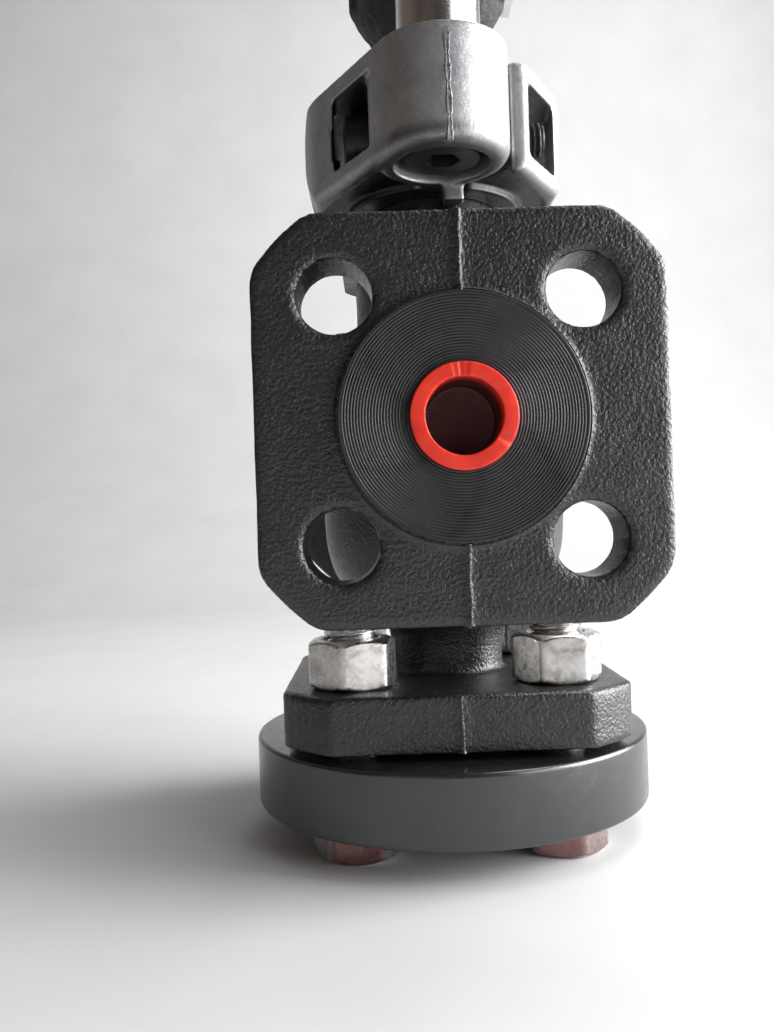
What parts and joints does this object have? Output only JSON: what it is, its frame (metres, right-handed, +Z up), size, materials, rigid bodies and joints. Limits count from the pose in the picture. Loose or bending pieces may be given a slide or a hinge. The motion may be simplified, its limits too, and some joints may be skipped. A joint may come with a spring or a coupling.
{
  "type": "flanged globe valve",
  "caption": "Straight-through flanged globe valve with blanked bottom port, two-column yoke, rising stem and handwheel.",
  "frame": {"origin": "on the stem axis, in the plane of the four bolt heads the valve stands on", "axes": "+Z up along the stem; flow along Y, from the inlet flange at -Y to the outlet flange at +Y; +X to the right of the inlet flange seen from in front"},
  "size_m": [0.123, 0.1324, 0.303],
  "materials": {
    "cast_black": "rough-cast black paint, satin",
    "black_steel": "smooth satin black",
    "red_plastic": "soft moulded polyethylene",
    "graphite": "matt graphite sheet",
    "zinc_steel": "zinc plated, satin",
    "stainless": "machined stainless steel",
    "bronze": "machined bronze",
    "ptfe": "matt PTFE",
    "black_rubber": "matt",
    "die_cast": "die-cast, tumbled matt",
    "column_steel": "bright drawn stainless bar",
    "coupling_black": "rough black phosphate",
    "scale_plate": "satin with printed graduation",
    "wheel_black": "black enamel on cast iron"
  },
  "bodies": {
    "valve": {"valve_body": "cast_black", "blank_flange": "black_steel", "blank_gasket": "graphite", "flange_bolts": "zinc_steel", "flange_nuts": "zinc_steel", "seat_ring": "stainless", "bonnet": "black_steel", "bonnet_gasket": "graphite", "guide_bush": "bronze", "packing_spring": "stainless", "packing_washer": "stainless", "packing_rings": "ptfe", "gland_follower": "bronze", "gland_nut": "stainless", "stem_wiper": "black_rubber", "yoke_bracket": "die_cast", "clamp_screw": "black_steel", "column_front": "column_steel", "column_rear": "column_steel", "column_screws": "black_steel", "crosshead": "die_cast", "thrust_washers": "bronze", "sleeve_cap": "black_steel", "cap_screws": "zinc_steel", "column_washers": "zinc_steel", "column_nuts": "zinc_steel", "travel_scale": "scale_plate", "scale_screw": "zinc_steel"},
    "trim": {"valve_plug": "stainless", "stem": "stainless", "plug_pin": "stainless", "stem_nut": "zinc_steel", "stem_head": "stainless", "coupling_nut": "coupling_black", "spindle": "stainless", "guide_arm": "zinc_steel", "arm_nut": "zinc_steel"},
    "wheel": {"handwheel": "wheel_black", "drive_sleeve": "bronze", "wheel_key": "stainless", "wheel_washer": "zinc_steel", "wheel_nut": "zinc_steel"},
    "inlet_plug": {"inlet_plug": "red_plastic"},
    "outlet_plug": {"outlet_plug": "red_plastic"}
  },
  "joints": [
    {"name": "handwheel_turn", "type": "hinge", "parent": "valve", "child": "wheel", "pos_m": [0, 0, 0.281], "axis": [0, 0, 1], "range_deg": [0, 1080]},
    {"name": "stem_lift", "type": "slide", "parent": "valve", "child": "trim", "axis": [0, 0, 1], "range_m": [0, 0.009]},
    {"name": "inlet_plug_pull", "type": "slide", "parent": "valve", "child": "inlet_plug", "axis": [0, -1, 0], "range_m": [0, 0.03]},
    {"name": "outlet_plug_pull", "type": "slide", "parent": "valve", "child": "outlet_plug", "axis": [0, 1, 0], "range_m": [0, 0.03]}
  ],
  "couplings": [
    {"joint": "stem_lift", "follows": "handwheel_turn", "m_per_rad": 0.00047746}
  ]
}
